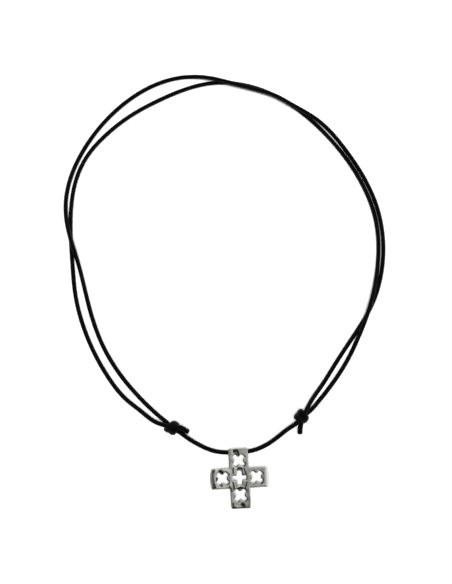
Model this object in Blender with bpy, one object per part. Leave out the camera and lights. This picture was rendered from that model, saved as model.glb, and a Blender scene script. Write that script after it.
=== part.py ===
"""Cross necklace: a pierced cast cross on one black cord, tied into an adjustable loop.

The necklace lies on a flat surface, the top of which is Z = 0. The cross lies on its back with its centre
over the origin, its upright along Y and its front facing up. The cord leaves the two sides of the top arm,
goes once round the loop on each side, and each end is wrapped round the other run in a sliding knot.
Lengths are in millimetres and become metres when a mesh or a curve is made.
"""

import math

import bmesh
import bpy
import numpy as np
from mathutils import Matrix, Vector
from mathutils.geometry import delaunay_2d_cdt

MM = 0.001

SILVER_COLOUR = (0.78, 0.78, 0.76)
CORD_COLOUR = (0.012, 0.012, 0.013)

# The cross
CROSS_WIDTH = 26.0
CROSS_HEIGHT = 26.3
SIDE_REACH = CROSS_WIDTH / 2
UPRIGHT_REACH = CROSS_HEIGHT / 2
END_BOW = 0.2  # how far the middle of a side arm's end stands out past its corners
ARM_WIDTH = 8.8
THICKNESS = 3.8  # at the centre
SIDE_DOME_RADIUS = 28.0  # of the front, across an arm
LONG_DOME_RADIUS = 200.0  # of the front, along an arm
DOME_BLEND = 0.12  # how softly the upright's front runs into the side arms'
END_ROLL_RADIUS = 2.75  # of the curve in which a side arm's front comes down at its end
END_SLOPE = 53.0  # degrees that the front slopes where it meets that end
END_ROLL = END_ROLL_RADIUS * math.sin(math.radians(END_SLOPE))
CORNER_ROUND = 0.9
INNER_CORNER_ROUND = 0.35
SMALLEST_ROUND = 0.04
BACK_BEVEL = 0.25

# The pierced shapes
PIERCE_PITCH = 7.6  # centre of the cross to the centre of an arm's shape
SALTIRE_REACH = 2.85  # centre to the outermost point of a stroke's end, along X or Y
SALTIRE_WIDTH = 2.2  # width of one stroke
SALTIRE_NOTCH_ROUND = 0.75
PLUS_REACH_ACROSS = 3.12
PLUS_REACH_UP = 3.35
PLUS_WIDTH = 2.25
PLUS_NOTCH_ROUND = 0.3
STROKE_END_ROUND = 0.4
RIM_WIDTH = 0.5  # the rounded front edge of the cross and of its pierced shapes
RIM_DEPTH = 0.4

# The cord and the way that it takes through the top arm
CORD_DIAMETER = 2.0
CORD_RADIUS = CORD_DIAMETER / 2
CHANNEL_CLEARANCE = 0.1
CHANNEL_RADIUS = CORD_RADIUS + CHANNEL_CLEARANCE
CHANNEL_ROOF = 0.45  # metal between the channel and the end of the top arm
CHANNEL_Y = UPRIGHT_REACH - CHANNEL_ROOF - CHANNEL_RADIUS
CHANNEL_HEIGHT = 1.45
CHANNEL_MOUTH = ARM_WIDTH / 2
CHANNEL_SIDES = 20
DRILL_OVERRUN = 4.0  # how far the drill stands out of each side of the arm
STRAND_GAP = 0.3  # between the cord's two runs, inside the channel

# Fineness of the faceted solids
CORNER_STEPS = 3
RIM_STEPS = 3
EDGE_PIECE = 3.0  # longest straight piece of an outline
FRONT_GRID = 1.3  # spacing of the points that carry the domed front
GRID_CLEARANCE = 0.45  # between those points and an outline
FILL_PRECISION = 0.00001
SHARP_ANGLE = 40.0  # degrees between faces past which an edge is shaded sharp
CORD_SAG = 0.075  # how far the cord's middle line may be from its true curve
CORD_STEPS = (1.1, 7.6)  # shortest and longest piece of cord
CORD_READINGS = 4000  # places along the true curve at which its bend is read
CORD_READINGS_BLENDED = 40  # readings to either side that are blended into each
STRAIGHTEST_BEND = 0.000001
CORD_BEVEL_RESOLUTION = 2

# The knots, each in a frame of its own: along the run that passes through it and towards the cross, then
# towards the side of the run that is tied, then up. Lengths are measured from the middle of the knot.
KNOT_GAP = 0.2
WRAP_RADIUS = CORD_DIAMETER + KNOT_GAP  # middle line of a wrap from the middle line of the run inside
WRAP_PITCH = WRAP_RADIUS
KNOT_HEIGHT = WRAP_RADIUS + CORD_RADIUS
WRAP_START = -2.0
WRAP_TURN = 545.0  # degrees
WRAP_STEP = 30.0
LEFT_KNOT_PLACE = (-28.75, 23.5)
LEFT_KNOT_HEADING = -30.5
LEFT_KNOT_APPROACH = [(-5.0, 1.35), (-3.9, 1.1), (-2.9, 0.65)]
LEFT_KNOT_TAIL = [(2.9, 1.85, 1.4), (4.9, 1.9, 0.7), (7.1, 2.1, -0.3)]
RIGHT_KNOT_PLACE = (29.35, 25.25)
RIGHT_KNOT_HEADING = -131.6
RIGHT_KNOT_APPROACH = [(-5.0, 1.1), (-3.9, 0.85), (-2.9, 0.5)]
RIGHT_KNOT_TAIL = [(2.9, 1.7, 1.45), (4.5, 2.65, 0.6), (6.2, 3.9, -0.5)]

# The routes of the cord's two runs, chosen by hand: X, Y and height of the middle line.
# The right-hand run goes from the cross through the right knot and anticlockwise to the left knot.
RIGHT_STRAND_ROUTE = [
    (STRAND_GAP / 2, CHANNEL_Y, CHANNEL_HEIGHT),
    (CHANNEL_MOUTH, CHANNEL_Y, CHANNEL_HEIGHT),
    (10.4, 13.0, 1.4),
    (16.3, 16.0, 1.7),
    (23.4, 20.7, 2.9),
    (27.4, 23.15, 3.15),
    (31.2, 27.5, 3.15),
    (33.9, 31.9, 2.6),
    (39.6, 39.4, 1.2),
    (47.6, 50.4, 1.0),
    (58.8, 65.2, 1.0),
    (66.6, 77.0, 1.0),
    (72.8, 93.5, 1.0),
    (75.0, 111.3, 1.0),
    (73.3, 127.5, 1.0),
    (60.5, 157.8, 1.1),
    (53.5, 168.0, 1.6),
    (47.8, 173.5, 2.6),
    (41.7, 177.9, 3.25),
    (34.4, 183.1, 3.25),
    (28.0, 187.4, 3.1),
    (20.2, 190.8, 2.9),
    (4.7, 196.0, 3.3),
    (-3.8, 198.9, 2.8),
    (-12.3, 200.9, 1.2),
    (-20.7, 200.5, 1.0),
    (-33.0, 196.7, 1.0),
    (-46.2, 188.5, 1.0),
    (-68.8, 161.3, 1.0),
    (-75.0, 145.8, 1.0),
    (-76.6, 134.0, 1.1),
    (-75.7, 124.2, 2.8),
    (-74.0, 116.4, 3.3),
    (-72.1, 109.5, 2.5),
    (-70.0, 101.5, 1.0),
    (-65.9, 83.1, 1.0),
    (-59.4, 63.1, 1.0),
    (-49.4, 46.1, 1.0),
    (-39.5, 34.2, 1.0),
    (-32.6, 27.4, 1.0),
]
# The left-hand run goes from the cross through the left knot and clockwise to the right knot.
LEFT_STRAND_ROUTE = [
    (-STRAND_GAP / 2, CHANNEL_Y, CHANNEL_HEIGHT),
    (-CHANNEL_MOUTH, CHANNEL_Y, CHANNEL_HEIGHT),
    (-11.0, 12.7, 1.4),
    (-16.7, 15.3, 1.7),
    (-22.5, 19.0, 2.9),
    (-26.3, 21.95, 3.15),
    (-31.2, 24.85, 3.15),
    (-35.9, 26.7, 2.5),
    (-42.5, 31.9, 1.2),
    (-49.5, 38.1, 1.0),
    (-57.0, 48.0, 1.0),
    (-68.5, 73.1, 1.0),
    (-72.1, 88.3, 1.0),
    (-73.5, 104.0, 1.0),
    (-74.2, 117.5, 1.0),
    (-73.9, 133.7, 1.0),
    (-71.4, 147.8, 1.0),
    (-65.7, 160.3, 1.0),
    (-57.0, 170.5, 1.0),
    (-44.0, 180.9, 1.0),
    (-30.5, 188.3, 1.0),
    (-15.4, 194.4, 1.0),
    (-1.0, 197.0, 1.0),
    (11.5, 195.5, 1.0),
    (24.0, 190.8, 1.0),
    (45.2, 174.0, 1.0),
    (54.7, 162.2, 1.0),
    (68.4, 136.2, 1.0),
    (72.1, 121.7, 1.0),
    (72.6, 107.8, 1.0),
    (71.4, 97.8, 1.0),
    (69.2, 88.0, 2.1),
    (66.9, 80.4, 3.0),
    (64.2, 73.3, 3.3),
    (61.3, 66.8, 3.0),
    (58.3, 60.8, 1.7),
    (54.5, 53.9, 1.0),
    (47.1, 43.2, 1.0),
    (37.0, 31.6, 1.0),
    (33.7, 28.5, 1.0),
]


def clear_scene():
    """Removes every object that the file opened with."""
    for found in list(bpy.data.objects):
        bpy.data.objects.remove(found)


def material(name, colour, metallic, roughness):
    """A plain Principled material."""
    made = bpy.data.materials.new(name)
    made.use_nodes = True
    shader = made.node_tree.nodes["Principled BSDF"]
    shader.inputs["Base Color"].default_value = (*colour, 1.0)
    shader.inputs["Metallic"].default_value = metallic
    shader.inputs["Roughness"].default_value = roughness
    return made


def add_object(name, data, finish):
    """Puts new mesh or curve data into the scene as a named object with one finish."""
    made = bpy.data.objects.new(name, data)
    data.materials.append(finish)
    bpy.context.scene.collection.objects.link(made)
    return made


# Outlines


def cross_corners(reach_across, reach_up, width, bow=0.0):
    """Corners of an upright cross, anticlockwise from the right arm's lower end, each with True at an end.

    With a bow, each side arm's end has a corner in its middle that stands out past the other two.
    """
    half = width / 2
    side = [(reach_across - bow, -half, True), (reach_across, 0, True), (reach_across - bow, half, True)]
    if not bow:
        side.pop(1)
    top = [(half, half, False), (half, reach_up, True), (-half, reach_up, True), (-half, half, False)]
    corners = []
    for sign in (1, -1):
        corners += [(sign * x, sign * y, is_end) for x, y, is_end in side + top]
    return corners


def saltire_corners(reach, width, end_round):
    """Corners of a diagonal cross whose rounded ends reach a given distance along X and along Y."""
    sharp_reach = reach + end_round * (math.sqrt(2) - 1)
    arm = sharp_reach * math.sqrt(2) - width / 2
    turn = Matrix.Rotation(math.radians(45), 2)
    corners = []
    for x, y, is_end in cross_corners(arm, arm, width):
        place = turn @ Vector((x, y))
        corners.append((place.x, place.y, is_end))
    return corners


def outline(corners, end_round, notch_round, grow):
    """Points of a corner list with every corner rounded, moved outwards by grow (inwards if negative).

    Growing makes an end's round larger and a notch's smaller, so that rings of the same shape keep the same
    number of points and stay at one distance from each other.
    """
    points = []
    count = len(corners)
    for i, (x, y, is_end) in enumerate(corners):
        here = Vector((x, y))
        into = (here - Vector(corners[i - 1][:2])).normalized()
        out = (Vector(corners[(i + 1) % count][:2]) - here).normalized()
        normal_in = Vector((into.y, -into.x))
        normal_out = Vector((out.y, -out.x))
        corner = here + (normal_in + normal_out) * grow / (1 + normal_in.dot(normal_out))
        radius = max(end_round + grow if is_end else notch_round - grow, SMALLEST_ROUND)
        side = 1 if is_end else -1
        centre = corner - side * (normal_in + normal_out) * radius / (1 + normal_in.dot(normal_out))
        for step in range(CORNER_STEPS + 1):
            share = step / CORNER_STEPS
            spoke = (normal_in * (1 - share) + normal_out * share).normalized()
            points.append(centre + side * spoke * radius)
    return points


def with_edge_points(rings, longest):
    """Adds the same extra points to every ring of one outline wherever its first ring has a long straight."""
    first = rings[0]
    count = len(first)
    pieces = [max(1, math.ceil((first[(i + 1) % count] - first[i]).length / longest)) for i in range(count)]
    filled = []
    for ring in rings:
        points = []
        for i, split in enumerate(pieces):
            for step in range(split):
                points.append(ring[i].lerp(ring[(i + 1) % count], step / split))
        filled.append(points)
    return filled


# The cross


def front_height(x, y):
    """Height of the domed front over a point, before its edges are rounded."""
    upright = -(x**2) / SIDE_DOME_RADIUS / 2 - y**2 / LONG_DOME_RADIUS / 2
    side = -(y**2) / SIDE_DOME_RADIUS / 2 - x**2 / LONG_DOME_RADIUS / 2
    blend = math.sqrt((upright - side) ** 2 + DOME_BLEND**2)
    dome = (upright + side + blend - DOME_BLEND) / 2
    past = min(max(abs(x) - (SIDE_REACH - END_ROLL), 0.0), END_ROLL)
    return THICKNESS + dome - END_ROLL_RADIUS + math.sqrt(END_ROLL_RADIUS**2 - past**2)


def rim_drop(distance):
    """How far the front is below its dome at a distance in from an edge."""
    share = min(distance / RIM_WIDTH, 1.0)
    return RIM_DEPTH * (1 - math.sqrt(1 - (1 - share) ** 2))


def ring_distances():
    """Distances in from an edge at which the rounded rim has a ring of points."""
    angles = [math.pi / 2 * step / RIM_STEPS for step in range(RIM_STEPS + 1)]
    return [RIM_WIDTH * (1 - math.cos(angle)) for angle in angles]


def inside(point, ring):
    """Whether a point is inside a closed ring of points."""
    found = False
    for a, b in zip(ring, ring[1:] + ring[:1]):
        if (a.y > point.y) != (b.y > point.y):
            if point.x < a.x + (b.x - a.x) * (point.y - a.y) / (b.y - a.y):
                found = not found
    return found


def clear_of(point, ring, distance):
    """Whether a point is further than a distance from every edge of a ring."""
    for a, b in zip(ring, ring[1:] + ring[:1]):
        along = b - a
        share = max(0.0, min(1.0, (point - a).dot(along) / along.length_squared))
        if (point - a - along * share).length < distance:
            return False
    return True


def front_grid(outer, holes):
    """Points on a grid between the rims, for the domed front to bend at."""
    points = []
    steps = math.ceil(UPRIGHT_REACH / FRONT_GRID)
    for i in range(-steps, steps + 1):
        for j in range(-steps, steps + 1):
            point = Vector((i * FRONT_GRID, j * FRONT_GRID))
            if not inside(point, outer) or any(inside(point, hole) for hole in holes):
                continue
            if all(clear_of(point, ring, GRID_CLEARANCE) for ring in [outer] + holes):
                points.append(point)
    return points


def pierced_outlines():
    """The five pierced shapes as (corner list, notch rounding, centre)."""
    saltire = saltire_corners(SALTIRE_REACH, SALTIRE_WIDTH, STROKE_END_ROUND)
    plus = cross_corners(PLUS_REACH_ACROSS, PLUS_REACH_UP, PLUS_WIDTH)
    shapes = [(plus, PLUS_NOTCH_ROUND, Vector((0, 0)))]
    for x, y in ((0, 1), (1, 0), (0, -1), (-1, 0)):
        shapes.append((saltire, SALTIRE_NOTCH_ROUND, Vector((x, y)) * PIERCE_PITCH))
    return shapes


def outline_rings(corners, centre, end_round, notch_round, into_metal):
    """Rings of one outline: the back's bevel, the wall, and the front rim, as (points, height rule)."""
    grows = [BACK_BEVEL, 0.0] + ring_distances()
    rings = [outline(corners, end_round, notch_round, into_metal * grow) for grow in grows]
    rings = [[centre + point for point in ring] for ring in rings]
    return with_edge_points(rings, EDGE_PIECE)


def add_rings(mesh, rings, turned):
    """Makes the back bevel, wall and rim of one outline, and gives its back ring and its front ring."""
    heights = [lambda p: 0.0, lambda p: BACK_BEVEL]
    for distance in ring_distances():
        heights.append(lambda p, d=distance: front_height(p.x, p.y) - rim_drop(d))
    rows = []
    for ring, height in zip(rings, heights):
        rows.append([mesh.verts.new((p.x * MM, p.y * MM, height(p) * MM)) for p in ring])
    for low, high in zip(rows, rows[1:]):
        count = len(low)
        for i in range(count):
            face = [low[i], low[(i + 1) % count], high[(i + 1) % count], high[i]]
            mesh.faces.new(face[::-1] if turned else face)
    return rows[0], rows[-1]


def fill(mesh, rows, extra, upwards):
    """Fills the flat back or the domed front between its outlines, bending at the extra vertices."""
    loops, border = [], []
    for row in rows:
        loops.append(list(range(len(border), len(border) + len(row))))
        border += row
    verts = border + extra
    places = [Vector((vert.co.x / MM, vert.co.y / MM)) for vert in verts]
    _, _, faces, source, _, within = delaunay_2d_cdt(places, [], loops, 1, FILL_PRECISION)
    for face, loops_round_it in zip(faces, within):
        if list(loops_round_it) != [0]:
            continue
        corners = [verts[source[i][0]] for i in face]
        area = sum(a.co.x * b.co.y - b.co.x * a.co.y for a, b in zip(corners, corners[1:] + corners[:1]))
        mesh.faces.new(corners if (area > 0) == upwards else corners[::-1])


def channel_cutter():
    """The drill that makes the cord's way through the top arm."""
    place = Matrix.Translation((0, CHANNEL_Y * MM, CHANNEL_HEIGHT * MM))
    mesh = bmesh.new()
    bmesh.ops.create_cone(
        mesh,
        cap_ends=True,
        segments=CHANNEL_SIDES,
        radius1=CHANNEL_RADIUS * MM,
        radius2=CHANNEL_RADIUS * MM,
        depth=(ARM_WIDTH + 2 * DRILL_OVERRUN) * MM,
        matrix=place @ Matrix.Rotation(math.pi / 2, 4, "Y"),
    )
    data = bpy.data.meshes.new("channel_drill")
    mesh.to_mesh(data)
    mesh.free()
    cutter = bpy.data.objects.new("channel_drill", data)
    cutter.hide_render = True
    cutter.display_type = "WIRE"
    bpy.context.scene.collection.objects.link(cutter)
    return cutter


def build_cross(finish):
    """The pierced cast cross, one solid."""
    mesh = bmesh.new()
    body = cross_corners(SIDE_REACH, UPRIGHT_REACH, ARM_WIDTH, END_BOW)
    centre = Vector((0, 0))
    outer_rings = outline_rings(body, centre, CORNER_ROUND, INNER_CORNER_ROUND, -1)
    back_rows, front_rows = [], []
    back, front = add_rings(mesh, outer_rings, turned=False)
    back_rows.append(back)
    front_rows.append(front)
    hole_fronts = []
    for corners, notch_round, place in pierced_outlines():
        rings = outline_rings(corners, place, STROKE_END_ROUND, notch_round, 1)
        back, front = add_rings(mesh, rings, turned=True)
        back_rows.append(back)
        front_rows.append(front)
        hole_fronts.append(rings[-1])
    grid = front_grid(outer_rings[-1], hole_fronts)
    extra = [mesh.verts.new((p.x * MM, p.y * MM, front_height(p.x, p.y) * MM)) for p in grid]
    fill(mesh, front_rows, extra, upwards=True)
    fill(mesh, back_rows, [], upwards=False)
    data = bpy.data.meshes.new("cross_pendant")
    mesh.to_mesh(data)
    mesh.free()
    data.shade_smooth()
    data.set_sharp_from_angle(angle=math.radians(SHARP_ANGLE))
    cross = add_object("cross_pendant", data, finish)
    drill = cross.modifiers.new("channel", "BOOLEAN")
    drill.operation = "DIFFERENCE"
    drill.solver = "EXACT"
    drill.object = channel_cutter()
    return cross


# The cord


def spline_through(points):
    """A smooth curve through points: a function that gives the place at a distance along their chords."""
    places = np.array(points, float)
    knots = np.concatenate([[0.0], np.cumsum(np.linalg.norm(np.diff(places, axis=0), axis=1))])
    gaps = np.diff(knots)
    count = len(places)
    matrix = np.eye(count)
    right = np.zeros_like(places)
    for i in range(1, count - 1):
        matrix[i, i - 1 : i + 2] = gaps[i - 1], 2 * (gaps[i - 1] + gaps[i]), gaps[i]
        slopes = (places[i + 1] - places[i]) / gaps[i] - (places[i] - places[i - 1]) / gaps[i - 1]
        right[i] = 6 * slopes
    bends = np.linalg.solve(matrix, right)

    def at(distances):
        i = np.clip(np.searchsorted(knots, distances) - 1, 0, count - 2)
        gap = gaps[i][:, None]
        after = (distances - knots[i])[:, None]
        before = gap - after
        curve = (bends[i] * before**3 + bends[i + 1] * after**3) / (6 * gap)
        line = (places[i] / gap - bends[i] * gap / 6) * before
        return curve + line + (places[i + 1] / gap - bends[i + 1] * gap / 6) * after

    return at, knots[-1]


def smooth_points(points):
    """Points along the smooth curve, close together where it bends tightly and far apart where it is straight.

    A straight piece of length s across a bend of curvature c leaves its curve by s * s * c / 8.
    """
    at, length = spline_through(points)
    fine = at(np.linspace(0, length, CORD_READINGS))
    steps = np.linalg.norm(np.diff(fine, axis=0), axis=1)
    ahead = np.diff(fine, axis=0) / steps[:, None]
    bend = np.linalg.norm(np.diff(ahead, axis=0), axis=1) / steps[1:]
    reach = np.sqrt(8 * CORD_SAG / np.maximum(bend, STRAIGHTEST_BEND))
    reach = np.clip(np.concatenate([reach[:1], reach, reach[-1:]]), *CORD_STEPS)
    near = np.ones(2 * CORD_READINGS_BLENDED + 1)
    reach = np.convolve(np.pad(reach, CORD_READINGS_BLENDED, mode="edge"), near / len(near), mode="valid")
    counted = np.concatenate([[0.0], np.cumsum(steps / ((reach[1:] + reach[:-1]) / 2))])
    wanted = np.linspace(0, counted[-1], math.ceil(counted[-1]) + 1)
    line = np.column_stack([np.interp(wanted, counted, fine[:, axis]) for axis in range(3)])
    line[:, 2] = np.maximum(line[:, 2], CORD_RADIUS)
    return line


def build_cord(name, points, finish):
    """A round cord along points, with flat cut ends."""
    data = bpy.data.curves.new(name, "CURVE")
    data.dimensions = "3D"
    data.bevel_depth = CORD_RADIUS * MM
    data.bevel_resolution = CORD_BEVEL_RESOLUTION
    data.use_fill_caps = True
    line = data.splines.new("POLY")
    line.points.add(len(points) - 1)
    for point, place in zip(line.points, points):
        point.co = (*(place * MM), 1.0)
    line.use_smooth = True
    return add_object(name, data, finish)


def knot_points(place, heading, approach, tail):
    """The tied run's way into a knot, round the run inside it, and out to its cut end."""
    local = [(along, beside, -WRAP_RADIUS) for along, beside in approach]
    turns = int(WRAP_TURN // WRAP_STEP)
    for step in range(turns + 1):
        swept = step * WRAP_STEP
        angle = math.radians(-90 - swept)
        along = WRAP_START + WRAP_PITCH * swept / 360
        local.append((along, WRAP_RADIUS * math.cos(angle), WRAP_RADIUS * math.sin(angle)))
    local += tail
    turn = Matrix.Rotation(math.radians(heading), 3, "Z")
    centre = Vector((*place, KNOT_HEIGHT))
    return [tuple(turn @ Vector(point) + centre) for point in local]


def build():
    """The whole necklace."""
    clear_scene()
    silver = material("cast_silver", SILVER_COLOUR, metallic=1.0, roughness=0.16)
    leather = material("black_cord", CORD_COLOUR, metallic=0.0, roughness=0.5)
    build_cross(silver)
    build_cord("right_strand", smooth_points(RIGHT_STRAND_ROUTE), leather)
    build_cord("left_strand", smooth_points(LEFT_STRAND_ROUTE), leather)
    left = knot_points(LEFT_KNOT_PLACE, LEFT_KNOT_HEADING, LEFT_KNOT_APPROACH, LEFT_KNOT_TAIL)
    right = knot_points(RIGHT_KNOT_PLACE, RIGHT_KNOT_HEADING, RIGHT_KNOT_APPROACH, RIGHT_KNOT_TAIL)
    build_cord("left_knot", smooth_points(left), leather)
    build_cord("right_knot", smooth_points(right), leather)


build()
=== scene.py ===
"""Looks of a cross necklace: a pierced cast silver cross on one black cord with two sliding knots.

The necklace lies on a pale table, the top of which is Z = 0. The cross has its centre over the origin and
its upright along Y. Sizes are in millimetres and become metres when a mesh is made.
"""

import logging
import math
from abc import ABC, abstractmethod
from dataclasses import dataclass, field
from enum import Enum
from typing import Any, Mapping, Sequence, Union

import bmesh
import bpy
import numpy as np
from mathutils import Matrix, Vector, noise
from mathutils.geometry import delaunay_2d_cdt


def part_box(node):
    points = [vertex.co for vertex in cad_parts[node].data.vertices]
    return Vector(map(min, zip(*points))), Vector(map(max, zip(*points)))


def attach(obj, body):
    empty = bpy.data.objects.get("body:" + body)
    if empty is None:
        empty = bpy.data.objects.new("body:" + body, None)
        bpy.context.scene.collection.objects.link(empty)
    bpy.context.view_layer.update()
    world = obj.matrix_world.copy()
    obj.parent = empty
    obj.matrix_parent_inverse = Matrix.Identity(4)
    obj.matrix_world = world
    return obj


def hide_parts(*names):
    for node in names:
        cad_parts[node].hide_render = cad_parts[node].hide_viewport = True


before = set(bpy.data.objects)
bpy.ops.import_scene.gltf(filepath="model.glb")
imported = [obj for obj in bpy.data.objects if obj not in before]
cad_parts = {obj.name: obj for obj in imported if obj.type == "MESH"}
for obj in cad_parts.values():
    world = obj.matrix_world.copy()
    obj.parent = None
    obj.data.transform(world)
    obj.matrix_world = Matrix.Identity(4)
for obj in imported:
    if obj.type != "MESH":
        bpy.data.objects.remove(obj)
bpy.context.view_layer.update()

LOG = logging.getLogger("cross_necklace")
MM = 0.001
# Sets the unevenness that the hand leaves, the same in each run
NOISE_SEED = 6
# Stands in for the squared length of an edge that has none
SMALLEST_SQUARE = 1e-12

Point = tuple[float, float, float]
Pair = tuple[float, float]
Colour = tuple[float, float, float, float]
Value = Union["Signal", float]


class Slot(Enum):
    """The two finishes of the necklace, by the names that its record gives them."""

    SILVER = "silver"
    CORD = "cord"


class Side(Enum):
    """The side of the cross that a run of cord leaves from, as the sign of its X."""

    RIGHT = 1
    LEFT = -1


# Shader maths


class Signal:
    """A number that varies over a surface. Python's operators on it add Math nodes."""

    def __init__(self, nodes: "Nodes", socket: bpy.types.NodeSocket) -> None:
        """Wraps the output socket that gives the number, and remembers the nodes that it is among."""
        self.nodes = nodes
        self.socket = socket

    def maths(self, operation: str, first: Value, second: Value = 0.0) -> "Signal":
        """The result of a Math node."""
        node = self.nodes.add("ShaderNodeMath", {"operation": operation}, {0: first, 1: second})
        return Signal(self.nodes, node.outputs[0])

    def __add__(self, other: Value) -> "Signal":
        """This plus another value."""
        return self.maths("ADD", self, other)

    __radd__ = __add__

    def __sub__(self, other: Value) -> "Signal":
        """This minus another value."""
        return self.maths("SUBTRACT", self, other)

    def __rsub__(self, other: Value) -> "Signal":
        """Another value minus this."""
        return self.maths("SUBTRACT", other, self)

    def __mul__(self, other: Value) -> "Signal":
        """This times another value."""
        return self.maths("MULTIPLY", self, other)

    __rmul__ = __mul__

    def __abs__(self) -> "Signal":
        """This without its sign."""
        return self.maths("ABSOLUTE", self)

    def smooth_step(self, low: float, high: float) -> "Signal":
        """A soft switch.

        Args:
            low: the value at which the result is 0.
            high: the value at which the result is 1. It may be below low.

        Returns:
            A number from 0 to 1.
        """
        sockets = {"Value": self, "From Min": low, "From Max": high}
        node = self.nodes.add("ShaderNodeMapRange", {"interpolation_type": "SMOOTHSTEP"}, sockets)
        return Signal(self.nodes, node.outputs["Result"])


class Nodes:
    """The node tree of a material or of the world, and the one way in which it gets its nodes."""

    MIX_FACTOR, MIX_FIRST, MIX_SECOND, MIX_RESULT = 0, 6, 7, 2

    def __init__(self, tree: bpy.types.NodeTree) -> None:
        """Empties a tree, to be filled again."""
        self.tree = tree
        tree.nodes.clear()

    def add(
        self, kind: str, settings: Mapping[str, Any] | None = None, sockets: Mapping[Any, Any] | None = None
    ) -> bpy.types.Node:
        """Adds a node.

        Args:
            kind: the node's type.
            settings: what is set on the node first, by name.
            sockets: values or links for its inputs, by name or number.

        Returns:
            The new node.
        """
        node = self.tree.nodes.new(kind)
        for name, setting in (settings or {}).items():
            setattr(node, name, setting)
        for key, given in (sockets or {}).items():
            socket = given.socket if isinstance(given, Signal) else given
            if isinstance(socket, bpy.types.NodeSocket):
                self.tree.links.new(socket, node.inputs[key])
            else:
                node.inputs[key].default_value = socket
        return node

    def signal(self, node: bpy.types.Node, output: str) -> Signal:
        """One output of a node, for maths."""
        return Signal(self, node.outputs[output])

    def attribute(self, name: str) -> bpy.types.Node:
        """Reads a value that the mesh carries at its points."""
        return self.add("ShaderNodeAttribute", {"attribute_name": name})

    def clouds(self, place: Any, scale: float, detail: float = 3.0, roughness: float = 0.55) -> Signal:
        """Soft random variation that stays around 0.5, with scale clouds to a unit of the place."""
        sockets = {"Vector": place, "Scale": scale, "Detail": detail, "Roughness": roughness}
        return self.signal(self.add("ShaderNodeTexNoise", {"noise_dimensions": "3D"}, sockets), "Fac")

    def stretched(self, place: Any, scale: Point) -> bpy.types.NodeSocket:
        """Coordinates scaled by a factor for each axis."""
        node = self.add("ShaderNodeVectorMath", {"operation": "MULTIPLY"}, {0: place, 1: scale})
        return node.outputs["Vector"]

    def mixed_colour(self, factor: Value, first: Any, second: Any) -> bpy.types.NodeSocket:
        """The first colour with a share of the second in it. Either may be a link."""
        sockets = {self.MIX_FACTOR: factor, self.MIX_FIRST: first, self.MIX_SECOND: second}
        return self.add("ShaderNodeMix", {"data_type": "RGBA"}, sockets).outputs[self.MIX_RESULT]

    def bumped(self, height: Signal, distance: float, strength: float = 1.0) -> bpy.types.NodeSocket:
        """A normal that follows a height over the surface, of which 1 stands for a distance in metres."""
        sockets = {"Height": height, "Distance": distance, "Strength": strength}
        return self.add("ShaderNodeBump", sockets=sockets).outputs["Normal"]


# Finishes


@dataclass(frozen=True)
class Finish(ABC):
    """A finish of the necklace or of its table, made with one Principled shader."""

    name: str

    @abstractmethod
    def looks(self, nodes: Nodes) -> dict[str, Any]:
        """The shader's values and links, by socket."""

    def material(self) -> bpy.types.Material:
        """Builds the finish.

        Returns:
            The material.
        """
        made = bpy.data.materials.new(self.name)
        made.use_nodes = True
        nodes = Nodes(made.node_tree)
        shader = nodes.add("ShaderNodeBsdfPrincipled", sockets=self.looks(nodes))
        nodes.add("ShaderNodeOutputMaterial", sockets={"Surface": shader.outputs[0]})
        return made


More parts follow.
